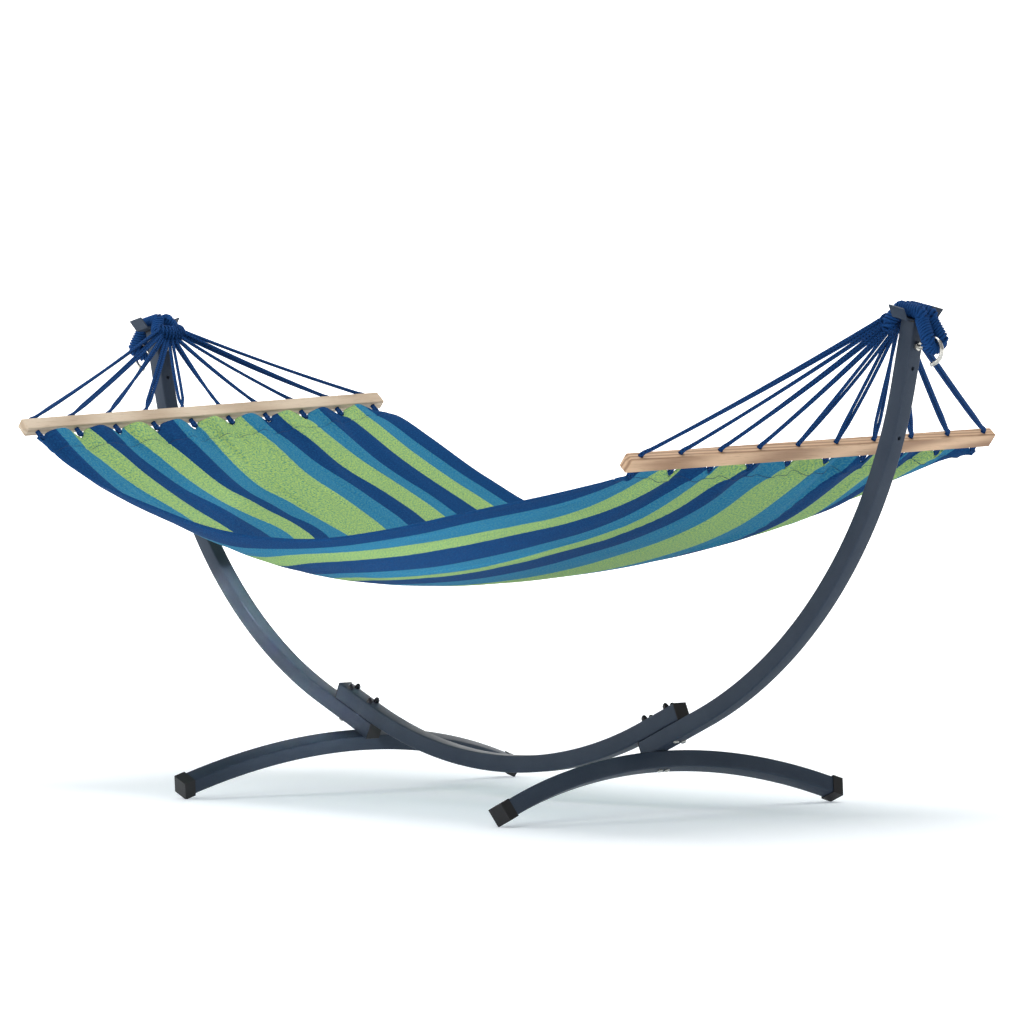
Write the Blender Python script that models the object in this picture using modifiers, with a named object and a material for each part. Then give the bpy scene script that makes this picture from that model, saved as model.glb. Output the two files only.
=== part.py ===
# Hammock on a curved steel stand: a striped cotton bed between two wooden spreader bars, hung by
# cord fans and whipped eye loops from two arms, which bolt to a low spine and two arched feet.
# Metres, +Z up. The stand runs along X, its middle is the origin, and it stands on z = 0.
import math

import bmesh
import bpy
from mathutils import Matrix, Vector

gap = 0.0003                      # between pieces that touch

# stand tubes
tube = 0.040                      # outer side of every square tube
wall = 0.002
corner = 0.004                    # chamfer that stands for the rounded corners
joint_slope = math.radians(23.7)  # slope of spine, arm and foot seat at each joint
spine_radius = 1.192
spine_straight = 0.117            # straight end of the spine, past its arc
overlap = 0.140                   # length over which spine and arm lie on each other
bolt_pitch = 0.076                # along the joint
bolt_spread = 0.022               # across the joint
arm_straight = 0.201              # straight lower end of the arm
arm_radius = 1.081
arm_top_slope = math.radians(77.4)
arm_top_straight = 0.135
foot_radius = 1.465
foot_half_angle = math.radians(21.0)
foot_steps = 21                   # odd, so that the arch has a flat middle under the joint

# end fittings
plug_plate = 0.003
plug_stub = 0.018
plug_clearance = 0.0006
cap_wall = 0.0012
cap_clearance = 0.0010            # pocket from the tube, which bends a little inside it
cap_floor = 0.0045
cap_depth = 0.024                 # tube length that a foot cap covers
cap_flat = 0.0014                 # height of the flat on the corner that a cap stands on

# joint bolts and cap nuts
bolt_radius = 0.004
bolt_clearance = 0.0003
bolt_head_radius = 0.0070
bolt_head_height = 0.0045
nut_flats = 0.013
nut_hex_height = 0.0060
nut_height = 0.0125
nut_bore_depth = 0.0075

# saddle, hook and its nuts
saddle_length = 0.090             # across the arm
saddle_width = 0.045
saddle_thickness = 0.003
saddle_wing = 0.031
saddle_flare = math.radians(35)   # of each wing from the arm's own direction
top_plate = 0.004
screw_radius = 0.003
screw_head_radius = 0.0052
screw_head_height = 0.0016
hook_drop = 0.051                 # hook hole below the arm's top, along the arm
spare_drops = {1: (0.101, 0.255), -1: (0.123, 0.255)}   # free holes on the right and left arm
spare_hole_radius = 0.0048
rod_radius = 0.0048
hook_radius = 0.027               # centre line of the open curl
hook_reach = 0.068                # curl's middle from the arm's centre line, along the shank
hook_tail = 0.016
hook_nut_flats = 0.017
hook_nut_height = 0.008
hook_cap_height = 0.014

# hammock
neck_drop = 0.00762               # rope necks below the arms' tops; the hammock swings about them
neck_reach = 0.050                # neck from the arm's centre line, inwards
neck_size = (0.018, 0.038, 0.018)
eye_radius = 0.0158
eye_spread = 0.0172               # each leg of the eye from the middle, over the saddle
roll = {1: math.radians(2.3), -1: math.radians(3.1)}   # the near edge hangs a little lower
roll_drop = 0.400                 # axis of that roll, below the necks
bar_length = 1.152
bar_depth = 0.036                 # along the cords
bar_width = 0.026
bar_edge = 0.003
bar_end_chamfer = 0.009
bar_inset = {1: 0.2465, -1: 0.1585}     # bar from its rope neck, along the stand
bar_drop = {1: 0.272, -1: 0.198}        # and below it
bar_slope = {1: math.radians(49), -1: math.radians(42)}
cord_count = 10
cord_radius = 0.003
cord_margin = 0.041               # bar's end to the first hole
cord_hole_clearance = 0.0004
cord_lead = 0.009                 # straight run before and after a hole
bed_clear = 0.016                 # from the bar's face to the bed's hem
bed_thickness = 0.006
bed_margin = 0.031                # bar's end to the bed's edge
bed_narrowing = 0.020
bed_fullness = 2.35               # power of the curve across the bed: higher is flatter in the middle
bed_steps = 26
bed_strips = 12
# share of the way from left hem to right hem, then how far the near edge, the middle and the far
# edge hang below the straight line between the hems
bed_stations = ((0.00, 0.000, 0.000, 0.000), (0.04, 0.057, 0.062, 0.015), (0.10, 0.121, 0.146, 0.064),
                (0.20, 0.176, 0.256, 0.150), (0.32, 0.217, 0.335, 0.226), (0.45, 0.210, 0.342, 0.214),
                (0.60, 0.165, 0.307, 0.162), (0.75, 0.105, 0.245, 0.118), (0.88, 0.054, 0.160, 0.070),
                (1.00, 0.000, 0.000, 0.000))

finishes = {
    "steel_paint": ((0.085, 0.105, 0.140), 0.45, 0.35),
    "black_plastic": ((0.012, 0.012, 0.014), 0.50, 0.0),
    "black_zinc": ((0.015, 0.015, 0.018), 0.25, 0.8),
    "bright_zinc": ((0.55, 0.55, 0.53), 0.25, 1.0),
    "beech": ((0.62, 0.43, 0.27), 0.55, 0.0),
    "navy_cord": ((0.012, 0.035, 0.110), 0.85, 0.0),
    "striped_cotton": ((0.080, 0.220, 0.330), 0.90, 0.0),
}

for old in list(bpy.data.objects):
    bpy.data.objects.remove(old, do_unlink=True)
parts = bpy.data.collections.new("hammock_on_stand")
cutters = bpy.data.collections.new("hammock_cutters")
for made in (parts, cutters):
    bpy.context.scene.collection.children.link(made)


# ---- helpers ----

def material(name):
    found = bpy.data.materials.get(name)
    if found:
        return found
    colour, roughness, metallic = finishes[name]
    found = bpy.data.materials.new(name)
    found.use_nodes = True
    shader = found.node_tree.nodes["Principled BSDF"]
    shader.inputs["Base Color"].default_value = (*colour, 1)
    shader.inputs["Roughness"].default_value = roughness
    shader.inputs["Metallic"].default_value = metallic
    return found


def axes(x_axis, y_axis, origin):
    x_axis, y_axis = Vector(x_axis).normalized(), Vector(y_axis).normalized()
    turned = Matrix((x_axis, y_axis, x_axis.cross(y_axis))).transposed()
    return Matrix.Translation(Vector(origin)) @ turned.to_4x4()


def add(name, mesh, finish, place=None, collection=parts, parent=None):
    obj = bpy.data.objects.new(name, mesh)
    collection.objects.link(obj)
    if finish:
        mesh.materials.clear()
        mesh.materials.append(material(finish))
    if parent:
        obj.parent = parent
        obj.matrix_parent_inverse = parent.matrix_world.inverted()
    obj.matrix_world = place or Matrix.Identity(4)
    if collection is cutters:
        obj.hide_render = True
        obj.display_type = "WIRE"
    return obj


def mesh_of(bm, name):
    mesh = bpy.data.meshes.new(name)
    bmesh.ops.recalc_face_normals(bm, faces=bm.faces)
    bm.to_mesh(mesh)
    bm.free()
    return mesh


def box_mesh(name, low, high, edge=0.0, steps=1):
    bm = bmesh.new()
    bmesh.ops.create_cube(bm, size=1)
    low, high = Vector(low), Vector(high)
    bmesh.ops.scale(bm, vec=high - low, verts=bm.verts)
    bmesh.ops.translate(bm, vec=(high + low) / 2, verts=bm.verts)
    if edge:
        bmesh.ops.bevel(bm, geom=bm.edges[:], offset=edge, segments=steps, affect="EDGES", profile=0.5)
    return mesh_of(bm, name)


def cylinder_mesh(name, radius, low, high, sides=12):
    bm = bmesh.new()
    bmesh.ops.create_cone(bm, cap_ends=True, segments=sides, radius1=radius, radius2=radius, depth=high - low)
    bmesh.ops.translate(bm, vec=(0, 0, (high + low) / 2), verts=bm.verts)
    return mesh_of(bm, name)


def evaluated_mesh(obj):
    bpy.context.view_layer.update()
    graph = bpy.context.evaluated_depsgraph_get()
    return bpy.data.meshes.new_from_object(obj.evaluated_get(graph))


def settle(obj):
    mesh = evaluated_mesh(obj)
    obj.modifiers.clear()
    obj.data = mesh
    return obj


def boolean(obj, tools, operation, crossing=False):
    for tool in tools:
        modifier = obj.modifiers.new(operation.lower(), "BOOLEAN")
        modifier.operation = operation
        modifier.object = tool
        modifier.solver = "EXACT"
        modifier.use_self = crossing            # for a tool that runs through itself
    settle(obj)
    for tool in tools:
        bpy.data.objects.remove(tool, do_unlink=True)
    return obj


def cut_cylinders(obj, radius, places, length, sides=12):
    tools = [add("cutter", cylinder_mesh("cutter", radius, -length / 2, length / 2, sides), None, place, cutters)
             for place in places]
    return boolean(obj, tools, "DIFFERENCE")


def curve_mesh(curve, name):
    # the curve's evaluated surface, with its caps welded to its sides
    guide = bpy.data.objects.new(name + "_guide", curve)
    cutters.objects.link(guide)
    mesh = evaluated_mesh(guide)
    bpy.data.objects.remove(guide, do_unlink=True)
    bm = bmesh.new()
    bm.from_mesh(mesh)
    bmesh.ops.remove_doubles(bm, verts=bm.verts, dist=1e-6)
    return mesh_of(bm, name)


def poly_curve(name, points, flat=False, closed=False):
    curve = bpy.data.curves.new(name, "CURVE")
    curve.dimensions = "2D" if flat else "3D"
    spline = curve.splines.new("POLY")
    spline.points.add(len(points) - 1)
    for slot, point in zip(spline.points, points):
        slot.co = (*point, 0, 1) if flat else (*point, 1)
    spline.use_cyclic_u = closed
    return curve


def square_outline(side, chamfer):
    half, inner = side / 2, side / 2 - chamfer
    quarter = [(half, -inner), (half, inner)]
    points = []
    for turn in range(4):
        c, s = math.cos(turn * math.pi / 2), math.sin(turn * math.pi / 2)
        points += [(c * x - s * y, s * x + c * y) for x, y in quarter]
    return points


def bent_tube(name, path, place):
    # a square tube along a flat path: an open sheath, then Solidify makes its wall
    outline = bpy.data.objects.new("tube_outline", poly_curve("tube_outline", square_outline(tube, corner), True, True))
    cutters.objects.link(outline)
    curve = poly_curve(name, path, flat=True)
    curve.bevel_mode = "OBJECT"
    curve.bevel_object = outline
    curve.use_fill_caps = False
    mesh = curve_mesh(curve, name)
    bpy.data.objects.remove(outline, do_unlink=True)
    obj = add(name, mesh, "steel_paint", place)
    shell = obj.modifiers.new("wall", "SOLIDIFY")
    shell.thickness = wall
    shell.offset = -1
    shell.use_even_offset = True
    return settle(obj)


def round_tube(name, points, radius, resolution=2):
    curve = poly_curve(name, points)
    curve.bevel_depth = radius
    curve.bevel_resolution = resolution
    curve.use_fill_caps = True
    curve.twist_mode = "MINIMUM"
    return curve_mesh(curve, name)


def outline_mesh(name, points, thickness):
    curve = poly_curve(name, points, flat=True, closed=True)
    curve.fill_mode = "BOTH"
    curve.extrude = thickness / 2
    return curve_mesh(curve, name)


def arc(middle, radius, start, end, steps):
    # points from angle start to end, both counted from straight down, turning left
    return [(middle[0] + radius * math.sin(start + (end - start) * i / steps),
             middle[1] - radius * math.cos(start + (end - start) * i / steps)) for i in range(steps + 1)]


def smooth_route(points, steps):
    # a smooth curve through hand-placed points
    points = [Vector(p) for p in points]
    ends = [2 * points[0] - points[1]] + points + [2 * points[-1] - points[-2]]
    found = []
    for i in range(1, len(ends) - 2):
        a, b, c, d = ends[i - 1:i + 3]
        for k in range(steps):
            t = k / steps
            found.append(0.5 * (2 * b + (c - a) * t + (2 * a - 5 * b + 4 * c - d) * t * t
                                + (3 * b - a - 3 * c + d) * t ** 3))
    return found + [points[-1]]


# ---- where the stand's pieces lie, in the plane of its length ----

along = Vector((math.cos(joint_slope), math.sin(joint_slope)))   # up the joint, outwards
normal = Vector((-along.y, along.x))
stack = tube + gap                                                # from one tube's centre line to the next


def spine_end(height):
    arc_end = Vector((spine_radius * along.y, height + spine_radius * (1 - along.x)))
    return arc_end + along * spine_straight


def joint_middle(height):
    return spine_end(height) - along * overlap / 2 - normal * stack


def foot_seat(height):
    return joint_middle(height) - along * bolt_pitch / 2 - normal * stack


cap_half = tube / 2 + cap_clearance + cap_wall
foot_lift = foot_radius * (1 - math.cos(foot_half_angle / foot_steps))   # arc above its flat middle
foot_end_slope = foot_half_angle * (1 - 1 / foot_steps)           # of the arch's last straight step


def cap_low_point(height):
    # lowest corner of a foot cap: its inner bottom corner, at the cap's outer end
    end = cap_floor + gap
    drop = foot_radius * (1 - math.cos(foot_half_angle)) - foot_lift + end * math.sin(foot_end_slope)
    deep = foot_seat(height) - normal * (drop + cap_half * math.cos(foot_end_slope)) - along * cap_half
    return deep.y


spine_height = -cap_flat - cap_low_point(0)                       # stands the caps' flats on z = 0
joint = joint_middle(spine_height)
seat = foot_seat(spine_height)
arm_low = joint - along * overlap / 2
arm_arc_start = arm_low + along * arm_straight
arm_arc_middle = arm_arc_start + normal * arm_radius
top_along = Vector((math.cos(arm_top_slope), math.sin(arm_top_slope)))
top_out = Vector((top_along.y, -top_along.x))                     # square to the arm's top, outwards
arm_arc_end = arm_arc_middle + top_out * arm_radius
arm_top = arm_arc_end + top_along * arm_top_straight
axis_height = arm_top.y - neck_drop
roll_height = axis_height - roll_drop
cord_span = bar_length - 2 * cord_margin
bed_half_width = bar_length / 2 - bed_margin


def world(side, flat, y=0.0):
    return Vector((side * flat.x, y, flat.y))


def direction(side, flat):
    return Vector((side * flat.x, 0, flat.y))


def joint_frame(side, flat, y=0.0):
    # Z of the frame is the joint's normal, X runs across the stand
    up = direction(side, normal)
    return axes(Vector((0, 1, 0)), up.cross(Vector((0, 1, 0))), world(side, flat, y))


def arm_point(drop):
    # centre line point and direction at a distance below the arm's top
    if drop <= arm_top_straight:
        return arm_top - top_along * drop, top_along
    turned = arm_top_slope - (drop - arm_top_straight) / arm_radius
    here = arm_arc_middle + Vector((math.sin(turned), -math.cos(turned))) * arm_radius
    return here, Vector((math.cos(turned), math.sin(turned)))


def arm_cross_frame(side, drop):
    # Z of the frame runs through the arm from its inner to its outer face
    here, up = arm_point(drop)
    out = Vector((up.y, -up.x))
    return axes(Vector((0, 1, 0)), direction(side, out).cross(Vector((0, 1, 0))), world(side, here))


# ---- stand ----

upright = axes((1, 0, 0), (0, 0, 1), (0, 0, 0))                   # draws a flat path in the XZ plane

bolt_shifts = [(step * bolt_pitch / 2, y * bolt_spread / 2) for step in (-1, 1) for y in (-1, 1)]


def bolt_frames(side, only_low=False):
    return [joint_frame(side, joint + along * shift, y) for shift, y in bolt_shifts if shift < 0 or not only_low]


def make_spine():
    half = arc((0, spine_height + spine_radius), spine_radius, 0, joint_slope, 12)
    tip = spine_end(spine_height)
    right = half + [(tip.x, tip.y)]
    path = [(-x, z) for x, z in reversed(right)] + right[1:]
    obj = bent_tube("spine_tube", path, upright)
    frames = bolt_frames(1) + bolt_frames(-1)
    return cut_cylinders(obj, bolt_radius + bolt_clearance, frames, 5 * tube)


def make_arm(side, word):
    path = [tuple(arm_low)] + arc(arm_arc_middle, arm_radius, joint_slope, arm_top_slope, 22) + [tuple(arm_top)]
    path = [(side * x, z) for x, z in path]
    obj = bent_tube("arm_tube_" + word, path, upright)
    cut_cylinders(obj, bolt_radius + bolt_clearance, bolt_frames(side), 5 * tube)
    drops = (hook_drop,) + spare_drops[side]
    radii = (rod_radius + bolt_clearance,) + (spare_hole_radius,) * len(spare_drops[side])
    for drop, radius in zip(drops, radii):
        cut_cylinders(obj, radius, [arm_cross_frame(side, drop)], 2 * tube)
    return obj


def foot_frame(side):
    # X of the frame runs across the stand, Y is the joint's normal, so the arch leans outwards
    return axes((0, 1, 0), direction(side, normal), world(side, seat + normal * foot_lift))


def foot_end(side, end):
    # frame at a foot tube's end, with Z out of the tube
    out = Vector((end * math.cos(foot_end_slope), -math.sin(foot_end_slope), 0))
    up = Vector((end * math.sin(foot_end_slope), math.cos(foot_end_slope), 0))
    here = Vector((end * foot_radius * math.sin(foot_half_angle),
                   -foot_radius * (1 - math.cos(foot_half_angle)), 0))
    turned = foot_frame(side)
    out, up = (turned.to_3x3() @ out), (turned.to_3x3() @ up)
    return axes(up, out.cross(up), turned @ here)


def make_foot(side, word):
    low_arc = arc((0, foot_radius), foot_radius, -foot_half_angle, foot_half_angle, foot_steps)
    path = [(x, -z) for x, z in low_arc]
    obj = bent_tube("foot_tube_" + word, path, foot_frame(side))
    return cut_cylinders(obj, bolt_radius + bolt_clearance, bolt_frames(side, True), 6 * tube)


def make_cap(side, end, name):
    outer, inner = cap_half, tube / 2 + cap_clearance
    obj = add(name, box_mesh(name, (-outer, -outer, -cap_depth), (outer, outer, cap_floor + gap)),
              "black_plastic", foot_end(side, end))
    pocket = add("pocket", box_mesh("pocket", (-inner, -inner, -cap_depth - 0.01), (inner, inner, gap)),
                 None, foot_end(side, end), cutters)
    floor = add("floor", box_mesh("floor", (-2, -2, -0.1), (2, 2, 0)), None, None, cutters)
    return boolean(obj, [pocket, floor], "DIFFERENCE")


def make_plug(name, place, plate):
    half, stub = tube / 2, tube / 2 - wall - plug_clearance
    obj = add(name, box_mesh(name, (-half, -half, gap), (half, half, gap + plate), edge=plate / 4),
              "black_plastic", place)
    inner = add("stub", box_mesh("stub", (-stub, -stub, -plug_stub), (stub, stub, gap + plate / 2),
                                       edge=0.8 * corner), None, place, cutters)
    return boolean(obj, [inner], "UNION")


def tube_end_frame(side, flat, out):
    return axes((0, 1, 0), direction(side, out).cross(Vector((0, 1, 0))), world(side, flat))


# ---- fasteners ----

def hexagon(name, flats, low, high):
    return cylinder_mesh(name, flats / math.sqrt(3), low, high, sides=6)


def cap_nut_mesh(name, flats, hex_height, height, bore_radius, bore_depth):
    obj = add(name, hexagon(name, flats, 0, hex_height), None, None, cutters)
    bm = bmesh.new()
    dome = flats / 2 * 0.94
    bmesh.ops.create_uvsphere(bm, u_segments=12, v_segments=8, radius=dome)
    bmesh.ops.translate(bm, vec=(0, 0, height - dome), verts=bm.verts)
    ball = add("dome", mesh_of(bm, "dome"), None, None, cutters)
    foot = add("foot", box_mesh("foot", (-1, -1, -1), (1, 1, 0)), None, None, cutters)
    bore = add("bore", cylinder_mesh("bore", bore_radius, -0.01, bore_depth), None, None, cutters)
    boolean(obj, [ball], "UNION")
    boolean(obj, [foot, bore], "DIFFERENCE")
    mesh = obj.data
    bpy.data.objects.remove(obj, do_unlink=True)
    return mesh


def turned_mesh(name, profile, sides=12):
    # profile runs down the outer side at +X, from the axis to the axis
    bm = bmesh.new()
    rim = [bm.verts.new((x, 0, z)) for x, z in profile]
    for a, b in zip(rim, rim[1:]):
        bm.edges.new((a, b))
    mesh = bpy.data.meshes.new(name)
    bm.to_mesh(mesh)
    bm.free()
    obj = add(name, mesh, None, None, cutters)
    turn = obj.modifiers.new("turn", "SCREW")
    turn.steps = turn.render_steps = sides
    turn.use_merge_vertices = True
    turn.merge_threshold = 0.00001
    made = settle(obj).data
    bpy.data.objects.remove(obj, do_unlink=True)
    bm = bmesh.new()
    bm.from_mesh(made)
    bmesh.ops.remove_doubles(bm, verts=bm.verts, dist=1e-6)
    return mesh_of(bm, name)


def bolt_mesh(name, length):
    # length is from under the head to the tip; z = 0 is under the head
    head, high = bolt_head_radius, bolt_head_height
    profile = [(0, length), (bolt_radius * 0.8, length), (bolt_radius, length - 0.001), (bolt_radius, 0),
               (head, 0), (head, -high * 0.45), (head * 0.72, -high), (0, -high)]
    return turned_mesh(name, profile)


def make_joint_bolts(side, word):
    nut = cap_nut_mesh("joint_cap_nut", nut_flats, nut_hex_height, nut_height,
                       bolt_radius + bolt_clearance, nut_bore_depth)
    for shift, y in bolt_shifts:
        tubes = 3 if shift < 0 else 2
        low = "lower" if shift < 0 else "upper"
        near = "near" if y < 0 else "far"
        top = tube / 2 + stack                         # spine's top face above the joint's middle line
        bottom = -tube / 2 - (stack if tubes == 3 else 0)
        length = top - bottom + 2 * gap + nut_bore_depth - 0.001
        frame = joint_frame(side, joint + along * shift, y)
        name = f"{low}_bolt_{word}_{near}"
        add(name, bolt_mesh(name, length), "bright_zinc", frame @ Matrix.Translation((0, 0, bottom - gap)))
        name = f"{low}_cap_nut_{word}_{near}"
        add(name, nut.copy(), "black_zinc", frame @ Matrix.Translation((0, 0, top + gap)))


# ---- arm tops ----

def top_frame(side, lift=0.0):
    # X out of the stand along the top, Y across it, Z up the arm
    return axes(direction(side, top_out), (0, side, 0), world(side, arm_top + top_along * lift))


def make_saddle(side, word):
    flat_half = saddle_length / 2
    lean = Vector((math.sin(saddle_flare), math.cos(saddle_flare))) * saddle_wing
    skin = Vector((math.cos(saddle_flare), -math.sin(saddle_flare))) * saddle_thickness
    bend = saddle_thickness * math.tan((math.pi / 2 - saddle_flare) / 2)
    right = [Vector((flat_half, 0)), Vector((flat_half, 0)) + lean,
             Vector((flat_half, 0)) + lean - skin, Vector((flat_half - bend, saddle_thickness))]
    points = [tuple(p) for p in right] + [(-p.x, p.y) for p in reversed(right)]
    lift = gap + top_plate + gap
    frame = top_frame(side, lift)
    # the outline lies in the saddle's own YZ plane
    place = frame @ axes((0, 1, 0), (0, 0, 1), (0, 0, 0))
    obj = add("rope_saddle_" + word, outline_mesh("saddle", points, saddle_width), "steel_paint", place)
    cut_cylinders(obj, screw_radius + bolt_clearance, [frame], 0.02)
    bore = [frame @ Matrix.Translation((0, 0, saddle_thickness))]
    return cut_cylinders(obj, screw_head_radius + bolt_clearance, bore, 2 * (screw_head_height + gap), sides=16)


def make_top_fittings(side, word):
    plug = make_plug("arm_top_plug_" + word, top_frame(side), top_plate)
    cut_cylinders(plug, screw_radius + bolt_clearance, [top_frame(side)], 0.08)
    make_saddle(side, word)
    head, high = screw_head_radius, screw_head_height
    reach = 0.014
    profile = [(0, 0), (head, 0), (head, -high), (screw_radius, -high), (screw_radius, -reach), (0, -reach)]
    seat_height = 2 * gap + top_plate + saddle_thickness
    add("saddle_screw_" + word, turned_mesh("saddle_screw", profile), "bright_zinc", top_frame(side, seat_height))


def hook_route():
    # in the hook's own plane: x outwards along the shank, y up the arm
    middle = Vector((hook_reach, 0.0))
    start, end = math.radians(140), math.radians(-56)
    curl = [middle + Vector((math.cos(start + (end - start) * i / 14), math.sin(start + (end - start) * i / 14)))
            * hook_radius for i in range(15)]
    tail = curl[-1] + Vector((math.sin(end), -math.cos(end))) * hook_tail
    inner = -tube / 2 - gap - nut_hex_height
    knee = tube / 2 + hook_nut_height + 0.006
    rise = smooth_route([(knee, 0, 0), (knee + 0.008, 0.005, 0), (curl[0].x, curl[0].y, 0)], 3)
    return [(inner, 0, 0), (tube / 2, 0, 0)] + [tuple(p) for p in rise[:-1]] + [(p.x, p.y, 0) for p in curl] \
        + [(tail.x, tail.y, 0)]


def make_hook(side, word):
    here, up = arm_point(hook_drop)
    out = Vector((up.y, -up.x))
    place = axes(direction(side, out), direction(side, up), world(side, here))
    add("rope_hook_" + word, round_tube("rope_hook", hook_route(), rod_radius), "bright_zinc", place)
    cross = arm_cross_frame(side, hook_drop)
    nut = add("hook_nut_" + word, hexagon("hook_nut", hook_nut_flats, tube / 2 + gap, tube / 2 + gap + hook_nut_height),
              "bright_zinc", cross)
    cut_cylinders(nut, rod_radius + bolt_clearance, [cross], 3 * tube)
    cap = cap_nut_mesh("hook_cap_nut", hook_nut_flats, nut_hex_height + 0.001, hook_cap_height,
                       rod_radius + bolt_clearance, nut_hex_height + 2 * gap)
    inward = cross @ Matrix.Rotation(math.pi, 4, "X") @ Matrix.Translation((0, 0, tube / 2 + gap))
    add("hook_cap_nut_" + word, cap, "black_zinc", inward)


# ---- hammock: everything below swings about the line through the rope necks ----

swing = bpy.data.objects.new("hammock_swing_axis", None)
parts.objects.link(swing)
swing.location = (0, 0, axis_height)
bpy.context.view_layer.update()


def rolled(angle):
    return (Matrix.Translation((0, 0, roll_height)) @ Matrix.Rotation(angle, 4, "X")
            @ Matrix.Translation((0, 0, -roll_height)))


def neck_point(side):
    slope = arm_top.y - axis_height
    flat = arm_top - top_along * (slope / top_along.y) - Vector((neck_reach, 0))
    return Vector((side * flat.x, 0, axis_height))


def bar_place(side):
    # middle of the bar in the stand's plane, and the slope of its cords
    return side * (abs(neck_point(side).x) - bar_inset[side]), axis_height - bar_drop[side], bar_slope[side]


def bar_frame(side):
    # X across the stand, Y along the cords towards the neck, Z square to both
    x, z, slope = bar_place(side)
    towards = Vector((side * math.cos(slope), 0, math.sin(slope)))
    return rolled(roll[side]) @ axes((0, 1, 0), towards, (x, 0, z))


def cord_shift(index):
    return -cord_span / 2 + cord_span * index / (cord_count - 1)


def make_bar(side, word):
    bm = bmesh.new()
    bmesh.ops.create_cube(bm, size=1)
    bmesh.ops.scale(bm, vec=(bar_length, bar_depth, bar_width), verts=bm.verts)
    ends = [e for e in bm.edges if abs(e.verts[0].co.x - e.verts[1].co.x) < 1e-6]
    bmesh.ops.bevel(bm, geom=ends, offset=bar_end_chamfer, segments=1, affect="EDGES")
    long_edges = [e for e in bm.edges if abs(e.verts[0].co.x - e.verts[1].co.x) > bar_length / 2]
    bmesh.ops.bevel(bm, geom=long_edges, offset=bar_edge, segments=2, affect="EDGES", profile=0.5)
    obj = add("spreader_bar_" + word, mesh_of(bm, "spreader_bar"), "beech", bar_frame(side), parent=swing)
    across = Matrix.Rotation(math.pi / 2, 4, "X")
    holes = [bar_frame(side) @ Matrix.Translation((cord_shift(i), 0, 0)) @ across for i in range(cord_count)]
    radius = 2 * cord_radius + gap / 2 + cord_hole_clearance
    return cut_cylinders(obj, radius, holes, 2 * bar_depth, sides=16)


def cord_route(side, index):
    # one cord, doubled: out of the neck, through its hole, round a small bight and back
    frame = bar_frame(side)
    shift = cord_shift(index)
    neck = neck_point(side)
    share = shift / (cord_span / 2)
    start = neck + Vector((0, share * neck_size[1] * 0.62, 0))
    mouth = bar_depth / 2 + cord_lead
    leg = cord_radius + gap / 2
    back = -bar_depth / 2 - cord_lead
    outward = []
    for height in (mouth, mouth - 0.004, -bar_depth / 2, back):
        outward.append(frame @ Vector((shift - leg, height, 0)))
    bight = [frame @ Vector((shift - leg * math.cos(math.pi * k / 6), back - leg * math.sin(math.pi * k / 6), 0))
             for k in range(1, 6)]
    inward = []
    for height in (back, -bar_depth / 2, mouth - 0.004, mouth):
        inward.append(frame @ Vector((shift + leg, height, 0)))
    side_step = Vector((0, cord_radius, 0))
    return [start - side_step] + outward + bight + inward + [start + side_step]


def make_cord_fan(side, word):
    bm = bmesh.new()
    bmesh.ops.create_uvsphere(bm, u_segments=16, v_segments=10, radius=1)
    bmesh.ops.scale(bm, vec=neck_size, verts=bm.verts)
    bmesh.ops.translate(bm, vec=neck_point(side), verts=bm.verts)
    obj = add("cord_fan_" + word, mesh_of(bm, "neck"), "navy_cord")
    tools = [add("cord", round_tube("cord", cord_route(side, i), cord_radius), None, None, cutters)
             for i in range(cord_count)]
    boolean(obj, tools, "UNION", crossing=True)
    obj.data.transform(Matrix.Translation((0, 0, -axis_height)))
    mesh = obj.data
    bpy.data.objects.remove(obj, do_unlink=True)
    return add("cord_fan_" + word, mesh, "navy_cord", Matrix.Translation((0, 0, axis_height)), parent=swing)


def eye_route():
    # X outwards from the arm's top, Y across, Z up the arm; over both saddle edges, then round the
    # top of the hook's curl, with both legs side by side
    top = 2 * gap + top_plate + saddle_thickness
    round_edge = eye_radius + 2 * gap
    over = [(math.radians(a), -1) for a in (125, 108)] + [(math.radians(a), 1) for a in (90, 60, 30, 2)]
    leg = [(half * saddle_width / 2 + round_edge * math.cos(a), top + round_edge * math.sin(a)) for a, half in over]
    curl_top = Vector((hook_reach, hook_radius - hook_drop))
    bend = eye_radius + rod_radius + 2 * gap
    spread = [eye_spread] * 4 + [eye_spread * 1.05, eye_spread * 1.12]
    down = [(x, -y, z) for (x, z), y in zip(leg, spread)]
    turns = [math.radians(a) for a in (0, 30, 60, 90, 120, 150, 180)]
    bight = [(curl_top.x, -bend * math.cos(a), curl_top.y - bend * math.sin(a)) for a in turns]
    up = [(x, -y, z) for x, y, z in reversed(down)]
    return smooth_route(down + bight + up, 2)


def make_eye_loop(side, word):
    mesh = round_tube("eye_loop", [tuple(p) for p in eye_route()], eye_radius, resolution=3)
    return add("eye_loop_" + word, mesh, "navy_cord", top_frame(side))


def station_value(share, column):
    # smooth value of a bed station column at a share of the bed's length
    rows = bed_stations
    k = max(i for i in range(len(rows) - 1) if rows[i][0] <= share or i == 0)
    a, b = rows[k], rows[k + 1]
    width = b[0] - a[0]
    t = (share - a[0]) / width

    def slope(i):
        low, high = max(i - 1, 0), min(i + 1, len(rows) - 1)
        return (rows[high][column] - rows[low][column]) / (rows[high][0] - rows[low][0])

    return ((2 * t ** 3 - 3 * t ** 2 + 1) * a[column] + (t ** 3 - 2 * t ** 2 + t) * width * slope(k)
            + (3 * t ** 2 - 2 * t ** 3) * b[column] + (t ** 3 - t ** 2) * width * slope(k + 1))


def hem_point(side):
    x, z, slope = bar_place(side)
    reach = bar_depth / 2 + bed_clear
    return Vector((x - side * math.cos(slope) * reach, z - math.sin(slope) * reach))


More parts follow.
